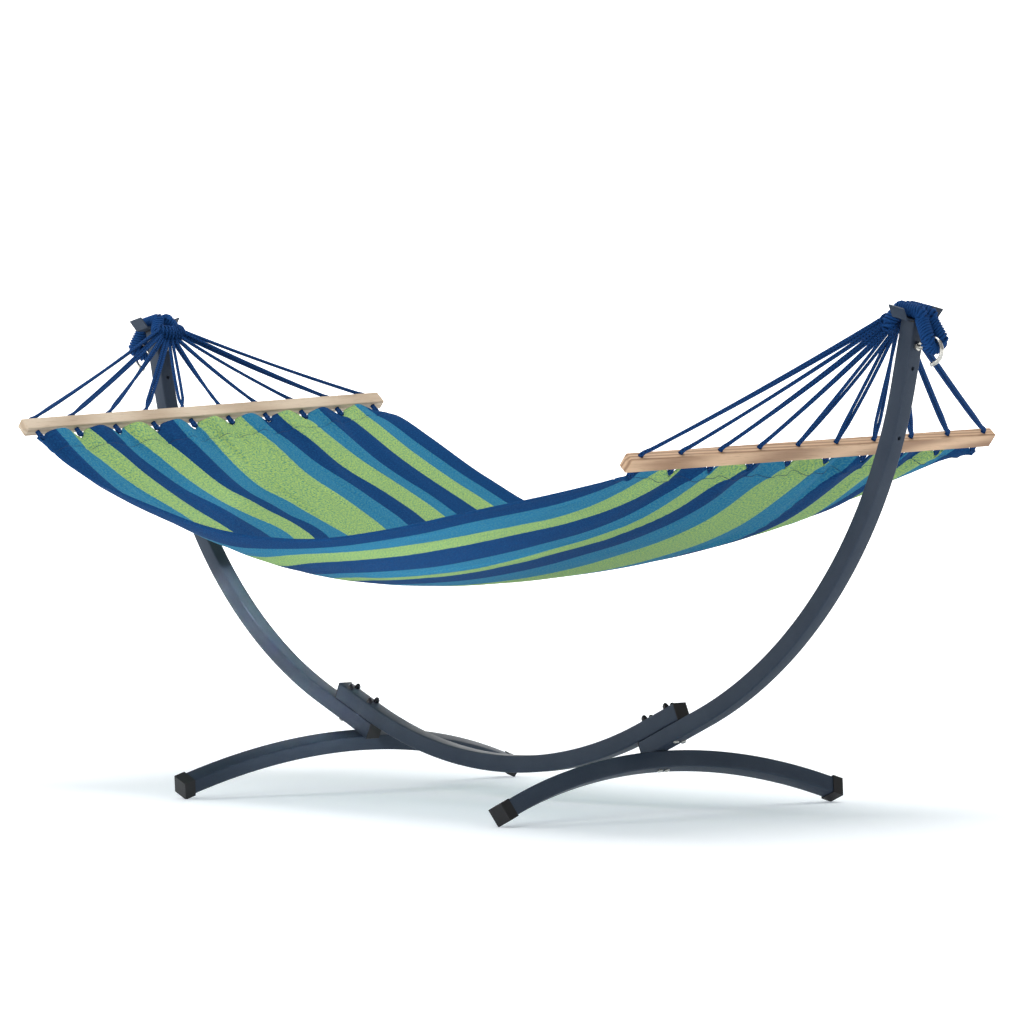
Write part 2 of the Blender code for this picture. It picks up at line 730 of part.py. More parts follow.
def bed_point(share, across):
    start, end = hem_point(-1), hem_point(1)
    base = start.lerp(end, share)
    edge, middle = station_value(share, 1 if across < 0 else 3), station_value(share, 2)
    drop = middle + (edge - middle) * abs(across) ** bed_fullness
    half = bed_half_width - bed_narrowing * 4 * share * (1 - share)
    turned = rolled(roll[-1] + (roll[1] - roll[-1]) * share)
    return turned @ Vector((base.x, across * half, base.y - drop))


def make_bed():
    bm = bmesh.new()
    bmesh.ops.create_grid(bm, x_segments=bed_steps, y_segments=bed_strips, size=0.5)
    for vert in bm.verts:
        vert.co = bed_point(vert.co.x + 0.5, 2 * vert.co.y) - Vector((0, 0, axis_height))
    obj = add("hammock_bed", mesh_of(bm, "hammock_bed"), "striped_cotton",
              Matrix.Translation((0, 0, axis_height)), parent=swing)
    cloth = obj.modifiers.new("cloth", "SOLIDIFY")
    cloth.thickness = bed_thickness
    cloth.offset = 0
    return settle(obj)


make_spine()
for side, word in ((1, "right"), (-1, "left")):
    make_arm(side, word)
    make_foot(side, word)
    for end, near in ((-1, "near"), (1, "far")):
        make_cap(side, end, f"foot_cap_{word}_{near}")
    make_plug("spine_plug_" + word, tube_end_frame(side, spine_end(spine_height), along), plug_plate)
    make_plug("arm_plug_" + word, tube_end_frame(side, arm_low, -along), plug_plate)
    make_joint_bolts(side, word)
    make_top_fittings(side, word)
    make_hook(side, word)
    make_eye_loop(side, word)
    make_bar(side, word)
    make_cord_fan(side, word)
make_bed()

for obj in parts.objects:
    if obj.type == "MESH":
        obj.data.shade_smooth()
        obj.data.set_sharp_from_angle(angle=math.radians(35))
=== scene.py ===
import math

import bmesh
import bpy
import numpy as np
from mathutils import Matrix, Vector

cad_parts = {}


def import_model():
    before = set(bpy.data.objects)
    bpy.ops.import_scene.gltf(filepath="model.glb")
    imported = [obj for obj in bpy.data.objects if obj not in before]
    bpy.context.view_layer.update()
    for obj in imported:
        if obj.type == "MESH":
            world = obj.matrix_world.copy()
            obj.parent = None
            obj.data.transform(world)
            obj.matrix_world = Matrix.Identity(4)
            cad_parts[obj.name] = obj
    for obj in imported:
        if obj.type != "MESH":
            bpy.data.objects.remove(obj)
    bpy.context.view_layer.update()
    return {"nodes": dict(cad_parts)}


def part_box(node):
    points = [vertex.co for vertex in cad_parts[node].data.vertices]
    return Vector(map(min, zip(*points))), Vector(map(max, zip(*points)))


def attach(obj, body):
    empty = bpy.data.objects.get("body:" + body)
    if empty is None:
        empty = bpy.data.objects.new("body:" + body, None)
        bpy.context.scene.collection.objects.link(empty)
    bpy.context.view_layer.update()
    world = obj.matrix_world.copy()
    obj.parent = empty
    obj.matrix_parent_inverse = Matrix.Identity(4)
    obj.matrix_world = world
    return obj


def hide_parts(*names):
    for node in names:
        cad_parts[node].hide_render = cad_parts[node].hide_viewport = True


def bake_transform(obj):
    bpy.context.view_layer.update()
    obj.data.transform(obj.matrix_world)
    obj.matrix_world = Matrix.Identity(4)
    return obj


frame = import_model()
nodes = frame["nodes"]
sides = {1: "right", -1: "left"}
bpy.context.scene.view_settings.view_transform = "Standard"      # keeps the cloth's dyes as set


# camera and light

camera = {
    "azimuth": 47.737, "elevation": 1.372,       # degrees round the stand and above the floor
    "distance": 12.532, "aim": (0.0201, 0, 0.6749),
    "roll": -0.138, "lens": 188.8,
}
sky = 0.40                                       # even light from all round
lamps = {
    "keyLight": {"place": (-2.9, -3.2, 2.3), "aim": (-0.8, 0, 0.5), "power": 60, "size": 1.8, "spread": 180},
    "bedLight": {"place": (1.0, -1.8, 2.5), "aim": (-1.3, 0.3, 0.6), "power": 12, "size": 1.4, "spread": 180},
    "armLight": {"place": (4.6, -2.0, 0.46), "aim": (-1.10, 0, 0.38), "power": 2.0, "size": 0.4, "spread": 5},
    "topLight": {"place": (0, 0.6, 5.0), "aim": (0, 0, 0), "power": 175, "size": 3.5, "spread": 180},
}


def placeCamera():
    az, el, roll = (math.radians(camera[k]) for k in ("azimuth", "elevation", "roll"))
    back = Vector((math.sin(az) * math.cos(el), -math.cos(az) * math.cos(el), math.sin(el)))
    right = Vector((math.cos(az), math.sin(az), 0))
    up = back.cross(right)
    rolledRight = right * math.cos(roll) + up * math.sin(roll)
    rolledUp = up * math.cos(roll) - right * math.sin(roll)
    data = bpy.data.cameras.new("camera")
    data.lens, data.sensor_width, data.clip_end = camera["lens"], 36, 200
    obj = bpy.data.objects.new("camera", data)
    bpy.context.scene.collection.objects.link(obj)
    turn = Matrix((rolledRight, rolledUp, back)).transposed().to_4x4()
    obj.matrix_world = Matrix.Translation(Vector(camera["aim"]) + back * camera["distance"]) @ turn
    bpy.context.scene.camera = obj


def placeLamps():
    for name, lamp in lamps.items():
        data = bpy.data.lights.new(name, "AREA")
        data.energy, data.size, data.spread = lamp["power"], lamp["size"], math.radians(lamp["spread"])
        obj = bpy.data.objects.new(name, data)
        bpy.context.scene.collection.objects.link(obj)
        obj.location = lamp["place"]
        obj.rotation_euler = (Vector(lamp["aim"]) - Vector(lamp["place"])).to_track_quat("-Z", "Y").to_euler()


def lightSky():
    dome = bpy.context.scene.world or bpy.data.worlds.new("world")
    bpy.context.scene.world = dome
    dome.use_nodes = True
    background = dome.node_tree.nodes["Background"]
    background.inputs["Color"].default_value = (1, 1, 1, 1)
    background.inputs["Strength"].default_value = sky


placeCamera()
placeLamps()
lightSky()
print("camera and light")


# node helpers

def newMaterial(name, roughness=0.5, metallic=0.0):
    made = bpy.data.materials.new(name)
    made.use_nodes = True
    shader = made.node_tree.nodes["Principled BSDF"]
    shader.inputs["Roughness"].default_value = roughness
    shader.inputs["Metallic"].default_value = metallic
    return made, made.node_tree, shader


def addNode(tree, kind, values=None, **settings):
    node = tree.nodes.new(kind)
    for key, value in settings.items():
        setattr(node, key, value)
    for key, value in (values or {}).items():
        if hasattr(value, "is_output"):
            tree.links.new(value, node.inputs[key])
        else:
            node.inputs[key].default_value = value
    return node


def maths(tree, kind, a, b=0.0, c=0.0):
    return addNode(tree, "ShaderNodeMath", {0: a, 1: b, 2: c}, operation=kind).outputs[0]


def mixColour(tree, share, a, b):
    node = addNode(tree, "ShaderNodeMix", {0: share, 6: a, 7: b}, data_type="RGBA")
    return node.outputs[2]


def noiseOf(tree, vector, scale, detail=3.0, rough=0.5):
    inputs = {"Vector": vector, "Scale": scale, "Detail": detail, "Roughness": rough}
    return addNode(tree, "ShaderNodeTexNoise", inputs).outputs[0]


def mapped(tree, vector, scale=(1, 1, 1), turn=(0, 0, 0), move=(0, 0, 0)):
    inputs = {"Vector": vector, "Scale": scale, "Rotation": turn, "Location": move}
    return addNode(tree, "ShaderNodeMapping", inputs).outputs[0]


def objectPlace(tree):
    return addNode(tree, "ShaderNodeTexCoord").outputs["Object"]


def ranged(tree, value, low, high, toLow=0.0, toHigh=1.0):
    node = addNode(tree, "ShaderNodeMapRange", {0: value, 1: low, 2: high, 3: toLow, 4: toHigh})
    return node.outputs[0]


def bumped(tree, height, strength, distance, after=None):
    values = {"Strength": strength, "Distance": distance, "Height": height}
    if after:
        values["Normal"] = after
    return addNode(tree, "ShaderNodeBump", values).outputs[0]


# finishes

paint = {
    "colour": (0.032, 0.045, 0.067, 1), "worn": (0.043, 0.057, 0.081, 1), "flake": (0.12, 0.14, 0.17, 1),
    "roughness": 0.45, "shine": 0.10, "grain": 900,
}


def paintedSteel():
    made, tree, shader = newMaterial("steelPaint", paint["roughness"])
    shader.inputs["Specular IOR Level"].default_value = paint["shine"]
    place = objectPlace(tree)
    cloud = noiseOf(tree, place, 7, 4)
    speck = noiseOf(tree, place, paint["grain"], 2, 0.6)
    shade = mixColour(tree, ranged(tree, cloud, 0.35, 0.7), paint["colour"], paint["worn"])
    flake = mixColour(tree, ranged(tree, speck, 0.60, 0.75, 0, 0.30), shade, paint["flake"])
    tree.links.new(flake, shader.inputs["Base Color"])
    tree.links.new(ranged(tree, cloud, 0.3, 0.7, 0.36, 0.5), shader.inputs["Roughness"])
    tree.links.new(bumped(tree, speck, 0.25, 0.0004), shader.inputs["Normal"])
    return made


def mouldedPlastic(name, colour, rough, grain):
    made, tree, shader = newMaterial(name, rough)
    shader.inputs["Specular IOR Level"].default_value = 0.3
    place = objectPlace(tree)
    fine = noiseOf(tree, place, grain, 3)
    lighter = tuple(min(1, c * 1.7) for c in colour[:3]) + (1,)
    tree.links.new(mixColour(tree, noiseOf(tree, place, 25), colour, lighter), shader.inputs["Base Color"])
    tree.links.new(ranged(tree, fine, 0.3, 0.7, rough * 0.85, rough * 1.2), shader.inputs["Roughness"])
    tree.links.new(bumped(tree, fine, 0.15, 0.0003), shader.inputs["Normal"])
    return made


zinc = {"bright": (0.62, 0.61, 0.57, 1), "dull": (0.36, 0.35, 0.32, 1)}


def zincPlate():
    made, tree, shader = newMaterial("brightZinc", 0.24, 1.0)
    place = objectPlace(tree)
    cloud = noiseOf(tree, place, 160, 4, 0.65)
    tone = mixColour(tree, ranged(tree, cloud, 0.35, 0.7), zinc["bright"], zinc["dull"])
    tree.links.new(tone, shader.inputs["Base Color"])
    tree.links.new(ranged(tree, cloud, 0.3, 0.7, 0.16, 0.34), shader.inputs["Roughness"])
    tree.links.new(bumped(tree, noiseOf(tree, place, 700), 0.1, 0.0002), shader.inputs["Normal"])
    return made


wood = {
    -1: {"light": (0.52, 0.42, 0.31, 1), "dark": (0.37, 0.275, 0.185, 1), "rings": 75},
    1: {"light": (0.60, 0.400, 0.250, 1), "dark": (0.25, 0.135, 0.070, 1), "rings": 115},
}


def woodFor(side, slope):
    look = wood[side]
    made, tree, shader = newMaterial("wood" + sides[side].title(), 0.55)
    place = mapped(tree, objectPlace(tree), turn=(0, side * slope, 0), move=(0.13 * side, 0.31, 0.07))
    long = mapped(tree, place, scale=(1, 0.055, 1))                   # stretched along the bar
    wander = noiseOf(tree, long, 9, 3)
    height = addNode(tree, "ShaderNodeSeparateXYZ", {0: long}).outputs[2]
    even = maths(tree, "MULTIPLY", height, look["rings"])
    ringPlace = maths(tree, "ADD", maths(tree, "MULTIPLY", wander, 2.4), even)
    rings = maths(tree, "SINE", maths(tree, "MULTIPLY", ringPlace, 6.28))
    pores = noiseOf(tree, mapped(tree, place, scale=(1, 0.02, 1)), 620, 2, 0.7)
    tone = mixColour(tree, ranged(tree, rings, -1, 1), look["light"], look["dark"])
    cloud = noiseOf(tree, long, 30, 4)
    tone = mixColour(tree, ranged(tree, cloud, 0.3, 0.7, 0, 0.35), tone, look["light"])
    pore = tuple(c * 0.55 for c in look["dark"][:3]) + (1,)
    tone = mixColour(tree, ranged(tree, pores, 0.58, 0.72, 0, 0.55), tone, pore)
    tree.links.new(tone, shader.inputs["Base Color"])
    tree.links.new(ranged(tree, pores, 0.3, 0.7, 0.5, 0.66), shader.inputs["Roughness"])
    tree.links.new(bumped(tree, pores, 0.35, 0.0004), shader.inputs["Normal"])
    return made


# the second, darker rope colour is painted shade for the plait's grooves, not a dye
rope = {"colour": (0.006, 0.050, 0.180, 1), "deep": (0.001, 0.012, 0.052, 1), "plait": 0.0085, "strands": 3}


def plaitedRope(name, depth):
    # two sets of strands cross each other round the cord; the grooves between them get a darker painted shade
    made, tree, shader = newMaterial(name, 0.82)
    along = addNode(tree, "ShaderNodeAttribute", attribute_name="along").outputs["Fac"]
    around = addNode(tree, "ShaderNodeAttribute", attribute_name="around").outputs["Fac"]
    run = maths(tree, "DIVIDE", along, rope["plait"])
    turn = maths(tree, "MULTIPLY", around, rope["strands"])
    one = maths(tree, "SINE", maths(tree, "MULTIPLY", maths(tree, "ADD", run, turn), 6.2832))
    two = maths(tree, "SINE", maths(tree, "MULTIPLY", maths(tree, "SUBTRACT", run, turn), 6.2832))
    high = maths(tree, "MAXIMUM", one, two)
    fibre = noiseOf(tree, objectPlace(tree), 1800, 2, 0.7)
    # painted shade: the plait's grooves are mixed towards the dark groove colour, more as depth rises
    tone = mixColour(tree, ranged(tree, high, -0.6, 0.9, 1 - depth, 1), rope["deep"], rope["colour"])
    tone = mixColour(tree, ranged(tree, fibre, 0.55, 0.8, 0, 0.4), tone, (0.016, 0.085, 0.26, 1))
    tree.links.new(tone, shader.inputs["Base Color"])
    weave = bumped(tree, high, 0.6 * depth, 0.0012)
    tree.links.new(bumped(tree, fibre, 0.25, 0.0003, weave), shader.inputs["Normal"])
    shader.inputs["Specular IOR Level"].default_value = 0.12
    return made


cloth = {
    "navy": (0.002, 0.034, 0.125, 1), "navyFleck": (0.004, 0.062, 0.190, 1),
    "teal": (0.010, 0.150, 0.310, 1), "tealFleck": (0.055, 0.225, 0.300, 1),
    "lime": (0.370, 0.530, 0.140, 1), "limeFleck": (0.085, 0.250, 0.170, 1),
    # from one selvedge to the middle, as shares of the bed's width
    "stripes": (("navy", 0.050), ("teal", 0.043), ("lime", 0.056), ("navy", 0.064), ("teal", 0.040),
                ("lime", 0.075), ("navy", 0.046), ("teal", 0.062), ("lime", 0.128)),
    "thread": 0.0011,
}


def stripedCloth():
    made, tree, shader = newMaterial("stripedCotton", 0.88)
    uv = addNode(tree, "ShaderNodeUVMap", uv_map="weave").outputs[0]
    parts = addNode(tree, "ShaderNodeSeparateXYZ", {0: uv})
    across, along = parts.outputs[0], parts.outputs[1]
    raggedNoise = noiseOf(tree, mapped(tree, uv, scale=(900, 260, 1)), 1, 1)
    ragged = maths(tree, "MULTIPLY_ADD", raggedNoise, 0.0022, -0.0011)
    wanderNoise = noiseOf(tree, mapped(tree, uv, scale=(3, 3, 1)), 1, 1)
    wander = maths(tree, "MULTIPLY_ADD", wanderNoise, 0.010, -0.005)
    place = maths(tree, "ADD", maths(tree, "ADD", across, ragged), wander)
    half = list(cloth["stripes"])
    order = half + half[-2::-1]
    total = sum(width for _, width in order)
    ramps = {}
    for kind in ("", "Fleck"):
        ramp = addNode(tree, "ShaderNodeValToRGB", {0: place})
        ramp.color_ramp.interpolation = "CONSTANT"
        stops = ramp.color_ramp.elements
        reach = 0.0
        for i, (dye, width) in enumerate(order):
            stop = stops[0] if i == 0 else (stops[1] if i == 1 else stops.new(reach / total))
            stop.position = reach / total
            stop.color = cloth[dye + kind]
            reach += width
        ramps[kind] = ramp.outputs[0]
    threads = mapped(tree, uv, scale=(300, 210, 1))
    heather = noiseOf(tree, threads, 1.0, 3, 0.7)
    tone = mixColour(tree, ranged(tree, heather, 0.43, 0.62), ramps[""], ramps["Fleck"])
    streak = noiseOf(tree, mapped(tree, uv, scale=(420, 6, 1)), 1.0, 2)
    tone = mixColour(tree, ranged(tree, streak, 0.3, 0.75, 0.0, 0.22), tone, (0.004, 0.02, 0.05, 1))
    tree.links.new(tone, shader.inputs["Base Color"])
    warp = maths(tree, "SINE", maths(tree, "MULTIPLY", across, 6.2832 * 1.1 / cloth["thread"]))
    weft = maths(tree, "SINE", maths(tree, "MULTIPLY", along, 6.2832 / cloth["thread"]))
    woven = bumped(tree, maths(tree, "MULTIPLY", warp, weft), 0.35, 0.0004)
    slub = bumped(tree, noiseOf(tree, mapped(tree, uv, scale=(60, 25, 1)), 1.0, 3), 0.5, 0.004, woven)
    tree.links.new(slub, shader.inputs["Normal"])
    shader.inputs["Specular IOR Level"].default_value = 0.10
    return made


steelPaint = paintedSteel()
blackPlastic = mouldedPlastic("blackPlastic", (0.007, 0.007, 0.008, 1), 0.42, 500)
blackNut = mouldedPlastic("blackNut", (0.006, 0.006, 0.008, 1), 0.2, 300)
brightZinc = zincPlate()
navyRope = plaitedRope("navyRope", 1.0)
navyWhipping = plaitedRope("navyWhipping", 0.35)
stripedCotton = stripedCloth()
print("finishes")


# growing meshes along paths

def newTree(name, sockets):
    tree = bpy.data.node_groups.new(name, "GeometryNodeTree")
    tree.interface.new_socket("Geometry", in_out="INPUT", socket_type="NodeSocketGeometry")
    for label, kind, value in sockets:
        tree.interface.new_socket(label, in_out="INPUT", socket_type=kind).default_value = value
    tree.interface.new_socket("Geometry", in_out="OUTPUT", socket_type="NodeSocketGeometry")
    entry = tree.nodes.new("NodeGroupInput")
    out = tree.nodes.new("NodeGroupOutput")
    return tree, entry.outputs, out.inputs


def stored(tree, geometry, name, value, kind="FLOAT"):
    inputs = {"Geometry": geometry, "Name": name, "Value": value}
    return addNode(tree, "GeometryNodeStoreNamedAttribute", inputs, data_type=kind, domain="POINT").outputs[0]


def finishTree(tree, geometry, entry, out):
    smooth = addNode(tree, "GeometryNodeSetShadeSmooth", {0: geometry}).outputs[0]
    real = addNode(tree, "GeometryNodeRealizeInstances", {0: smooth}).outputs[0]
    painted = addNode(tree, "GeometryNodeSetMaterial", {"Geometry": real, "Material": entry["Material"]})
    tree.links.new(painted.outputs[0], out[0])


def roundTree():
    # a round cord along the curve; a coil radius above zero winds it round the curve instead
    tree, entry, out = newTree("cordAlongCurve", (
        ("Radius", "NodeSocketFloat", 0.003), ("Sides", "NodeSocketInt", 12),
        ("Step", "NodeSocketFloat", 0.01), ("Coil", "NodeSocketFloat", 0.0),
        ("Pitch", "NodeSocketFloat", 0.006), ("Phase", "NodeSocketFloat", 0.0),
        ("Material", "NodeSocketMaterial", None)))
    even = addNode(tree, "GeometryNodeResampleCurve", {"Curve": entry["Geometry"], "Length": entry["Step"]},
                   mode="LENGTH").outputs[0]
    length = addNode(tree, "GeometryNodeSplineParameter").outputs["Length"]
    turns = maths(tree, "ADD", maths(tree, "DIVIDE", length, entry["Pitch"]), entry["Phase"])
    angle = maths(tree, "MULTIPLY", turns, 2 * math.pi)
    normal = addNode(tree, "GeometryNodeInputNormal").outputs[0]
    tangent = addNode(tree, "GeometryNodeInputTangent").outputs[0]
    side = addNode(tree, "ShaderNodeVectorMath", {0: tangent, 1: normal}, operation="CROSS_PRODUCT")
    parts = []
    for axis, wave in ((normal, "COSINE"), (side.outputs[0], "SINE")):
        reach = maths(tree, "MULTIPLY", maths(tree, wave, angle), entry["Coil"])
        parts.append(addNode(tree, "ShaderNodeVectorMath", {0: axis, 3: reach}, operation="SCALE").outputs[0])
    offset = addNode(tree, "ShaderNodeVectorMath", {0: parts[0], 1: parts[1]}, operation="ADD").outputs[0]
    wound = addNode(tree, "GeometryNodeSetPosition", {"Geometry": even, "Offset": offset}).outputs[0]
    wound = stored(tree, wound, "along", addNode(tree, "GeometryNodeSplineParameter").outputs["Length"])
    circle = addNode(tree, "GeometryNodeCurvePrimitiveCircle",
                     {"Resolution": entry["Sides"], "Radius": entry["Radius"]}).outputs[0]
    circle = stored(tree, circle, "around", addNode(tree, "GeometryNodeSplineParameter").outputs["Factor"])
    inputs = {"Curve": wound, "Profile Curve": circle, "Fill Caps": True}
    finishTree(tree, addNode(tree, "GeometryNodeCurveToMesh", inputs).outputs[0], entry, out)
    return tree


def squareTree():
    tree, entry, out = newTree("squareTubeAlongCurve", (
        ("Side", "NodeSocketFloat", 0.04), ("Corner", "NodeSocketFloat", 0.004),
        ("Material", "NodeSocketMaterial", None)))
    level = addNode(tree, "GeometryNodeSetCurveNormal", {"Curve": entry["Geometry"]})
    level.mode = "Z_UP"
    square = addNode(tree, "GeometryNodeCurvePrimitiveQuadrilateral",
                     {"Width": entry["Side"], "Height": entry["Side"]}).outputs[0]
    inputs = {"Curve": square, "Radius": entry["Corner"], "Count": 4}
    rounded = addNode(tree, "GeometryNodeFilletCurve", inputs, mode="POLY")
    skin = addNode(tree, "GeometryNodeCurveToMesh",
                   {"Curve": level.outputs[0], "Profile Curve": rounded.outputs[0], "Fill Caps": True})
    finishTree(tree, skin.outputs[0], entry, out)
    return tree


def stitchTree():
    tree, entry, out = newTree("stitchesAlongCurve", (
        ("Spacing", "NodeSocketFloat", 0.006), ("Length", "NodeSocketFloat", 0.004),
        ("Radius", "NodeSocketFloat", 0.0005), ("Material", "NodeSocketMaterial", None)))
    inputs = {"Curve": entry["Geometry"], "Length": entry["Spacing"]}
    points = addNode(tree, "GeometryNodeCurveToPoints", inputs, mode="LENGTH")
    thread = addNode(tree, "GeometryNodeMeshCylinder",
                     {"Vertices": 6, "Side Segments": 1, "Radius": entry["Radius"], "Depth": entry["Length"]})
    aim = addNode(tree, "FunctionNodeAlignRotationToVector", {"Vector": points.outputs["Tangent"]}, axis="Z")
    inputs = {"Points": points.outputs["Points"], "Instance": thread.outputs["Mesh"],
              "Rotation": aim.outputs[0]}
    laid = addNode(tree, "GeometryNodeInstanceOnPoints", inputs)
    finishTree(tree, laid.outputs[0], entry, out)
    return tree


trees = {"round": roundTree(), "square": squareTree(), "stitch": stitchTree()}


def curveOf(paths, closed=False, flat=False):
    curve = bpy.data.curves.new("path", "CURVE")
    curve.dimensions = "2D" if flat else "3D"
    for points in paths:
        spline = curve.splines.new("POLY")
        spline.points.add(len(points) - 1)
        for slot, point in zip(spline.points, points):
            slot.co = (point[0], point[1], point[2] if len(point) > 2 else 0, 1)
        spline.use_cyclic_u = closed
    return curve


def grown(kind, paths, inputs, closed=False, flat=False):
    guide = bpy.data.objects.new("guide", curveOf(paths, closed, flat))
    bpy.context.scene.collection.objects.link(guide)
    modifier = guide.modifiers.new("grow", "NODES")
    modifier.node_group = trees[kind]
    for item in trees[kind].interface.items_tree:
        if item.item_type == "SOCKET" and item.in_out == "INPUT" and item.name in inputs:
            modifier[item.identifier] = inputs[item.name]
    bpy.context.view_layer.update()
    mesh = bpy.data.meshes.new_from_object(guide.evaluated_get(bpy.context.evaluated_depsgraph_get()))
    bpy.data.objects.remove(guide, do_unlink=True)
    return mesh


def joined(meshes):
    bm = bmesh.new()
    slots = []
    for mesh in meshes:
        start = len(bm.faces)
        bm.from_mesh(mesh)
        bm.faces.ensure_lookup_table()
        base = len(slots)
        slots += list(mesh.materials)
        for face in bm.faces[start:]:
            face.material_index += base
    whole = bpy.data.meshes.new("whole")
    bm.to_mesh(whole)
    bm.free()
    for slot in slots:
        whole.materials.append(slot)
    return whole


def piece(name, mesh, body, replaced=()):
    obj = bpy.data.objects.new(name, mesh)
    bpy.context.scene.collection.objects.link(obj)
    if body:
        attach(obj, body)
    if replaced:
        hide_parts(*replaced)
    return obj


def smoothPath(points, steps=8, closed=False):
    rows = [np.array(p, float) for p in points]
    if closed:
        ends = [rows[-1]] + rows + rows[:2]
    else:
        ends = [2 * rows[0] - rows[1]] + rows + [2 * rows[-1] - rows[-2]]
    found = []
    for i in range(1, len(ends) - 2):
        a, b, c, d = ends[i - 1:i + 3]
        for k in range(steps):
            t = k / steps
            found.append(0.5 * (2 * b + (c - a) * t + (2 * a - 5 * b + 4 * c - d) * t * t
                                + (3 * b - a - 3 * c + d) * t ** 3))
    return found if closed else found + [rows[-1]]


# stand

stand = {
    "tube": 0.040, "corner": 0.0045, "gap": 0.0003,
    "slope": 23.7, "overlap": 0.140, "boltPitch": 0.076,                # the joints
    "spineRadius": 1.192, "spineStraight": 0.117,
    "armStraight": 0.201, "armRadius": 1.081, "topSlope": 77.4, "topStraight": 0.135,
    "footRadius": 1.465, "footAngle": 21.0, "footSteps": 21,
    "hookDrop": 0.051, "holeRadius": 0.0048,                            # holes, from the arm's top
    "spareDrops": {1: (0.101, 0.255), -1: (0.123, 0.255)},
}
slope, topSlope = math.radians(stand["slope"]), math.radians(stand["topSlope"])
along = Vector((math.cos(slope), math.sin(slope)))
normal = Vector((-along.y, along.x))
topAlong = Vector((math.cos(topSlope), math.sin(topSlope)))
topOut = Vector((topAlong.y, -topAlong.x))
stack = stand["tube"] + stand["gap"]
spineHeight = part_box("spine_tube")[0][2] + stand["tube"] / 2


def arcPoints(middle, radius, start, end, steps):
    turns = np.linspace(start, end, steps + 1)
    return [(middle[0] + radius * math.sin(t), middle[1] - radius * math.cos(t)) for t in turns]


spineMiddle = Vector((0, spineHeight + stand["spineRadius"]))
spineTip = spineMiddle + Vector((along.y, -along.x)) * stand["spineRadius"] + along * stand["spineStraight"]
joint = spineTip - along * stand["overlap"] / 2 - normal * stack
armLow = joint - along * stand["overlap"] / 2
armMiddle = armLow + along * stand["armStraight"] + normal * stand["armRadius"]
armTop = armMiddle + topOut * stand["armRadius"] + topAlong * stand["topStraight"]
footSeat = joint - along * stand["boltPitch"] / 2 - normal * stack
upright = Matrix(((1, 0, 0), (0, 0, 1), (0, -1, 0))).transposed().to_4x4()      # draws XY as XZ


def world(side, flat, y=0.0):
    return Vector((side * flat.x, y, flat.y))


def direction(side, flat):
    return Vector((side * flat.x, 0, flat.y))


def axes(xAxis, yAxis, origin):
    xAxis, yAxis = Vector(xAxis).normalized(), Vector(yAxis).normalized()
    turned = Matrix((xAxis, yAxis, xAxis.cross(yAxis))).transposed()
    return Matrix.Translation(Vector(origin)) @ turned.to_4x4()


def steelTube(name, path, place, node, holes=()):
    inputs = {"Side": stand["tube"], "Corner": stand["corner"], "Material": steelPaint}
    mesh = grown("square", [path], inputs, flat=True)
    mesh.transform(place)
    if place.determinant() < 0:
        mesh.flip_normals()
    bm = bmesh.new()
    bm.from_mesh(mesh)
    bmesh.ops.remove_doubles(bm, verts=bm.verts, dist=1e-6)
    bmesh.ops.recalc_face_normals(bm, faces=bm.faces)
    bm.to_mesh(mesh)
    bm.free()
    obj = piece(name, mesh, None)
    for hole in holes:
        bm = bmesh.new()
        bmesh.ops.create_cone(bm, cap_ends=True, segments=32, radius1=stand["holeRadius"],
                              radius2=stand["holeRadius"], depth=2 * stand["tube"])
        drill = bpy.data.meshes.new("drill")
        bm.to_mesh(drill)
        bm.free()
        drillObj = bpy.data.objects.new("drill", drill)
        bpy.context.scene.collection.objects.link(drillObj)
        drillObj.matrix_world = hole
        cut = obj.modifiers.new("cut", "BOOLEAN")
        cut.object, cut.solver = drillObj, "EXACT"
        bpy.context.view_layer.update()
        done = bpy.data.meshes.new_from_object(obj.evaluated_get(bpy.context.evaluated_depsgraph_get()))
        obj.modifiers.clear()
        obj.data = done
        bpy.data.objects.remove(drillObj, do_unlink=True)
    obj.data.shade_smooth()
    obj.data.set_sharp_from_angle(angle=math.radians(40))
    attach(obj, "stand")
    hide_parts(node)


def armPoint(drop):
    if drop <= stand["topStraight"]:
        return armTop - topAlong * drop, topAlong
    turned = topSlope - (drop - stand["topStraight"]) / stand["armRadius"]
    here = armMiddle + Vector((math.sin(turned), -math.cos(turned))) * stand["armRadius"]
    return here, Vector((math.cos(turned), math.sin(turned)))


def armCross(side, drop):
    here, up = armPoint(drop)
    out = Vector((up.y, -up.x))
    return axes((0, 1, 0), direction(side, out).cross(Vector((0, 1, 0))), world(side, here))


def buildStand():
    half = arcPoints(spineMiddle, stand["spineRadius"], 0, slope, 40) + [tuple(spineTip)]
    steelTube("spineTube", [(-x, z) for x, z in reversed(half)] + half[1:], upright, "spine_tube")
    for side, word in sides.items():
        curve = arcPoints(armMiddle, stand["armRadius"], slope, topSlope, 80)
        path = [(side * x, z) for x, z in [tuple(armLow)] + curve + [tuple(armTop)]]
        holes = [armCross(side, drop) for drop in stand["spareDrops"][side]]
        steelTube("armTube" + word.title(), path, upright, "arm_tube_" + word, holes)
        radius, angle = stand["footRadius"], math.radians(stand["footAngle"])
        lift = radius * (1 - math.cos(angle / stand["footSteps"]))
        seat = footSeat + normal * lift
        foot = axes((0, 1, 0), direction(side, normal), world(side, seat))
        path = [(x, -z) for x, z in arcPoints((0, radius), radius, -angle, angle, 84)]
        steelTube("footTube" + word.title(), path, foot, "foot_tube_" + word)


finishFor = (
    (blackPlastic, ("foot_cap", "spine_plug", "arm_plug", "arm_top_plug")), (steelPaint, ("rope_saddle",)),
    (brightZinc, ("saddle_screw", "hook_nut", "lower_bolt", "upper_bolt")),
    (blackNut, ("hook_cap_nut", "lower_cap_nut", "upper_cap_nut")),
)


def paintKeptNodes():
    for name, node in nodes.items():
        for finish, starts in finishFor:
            if name.startswith(starts):
                for slot in node.material_slots:
                    slot.material = finish


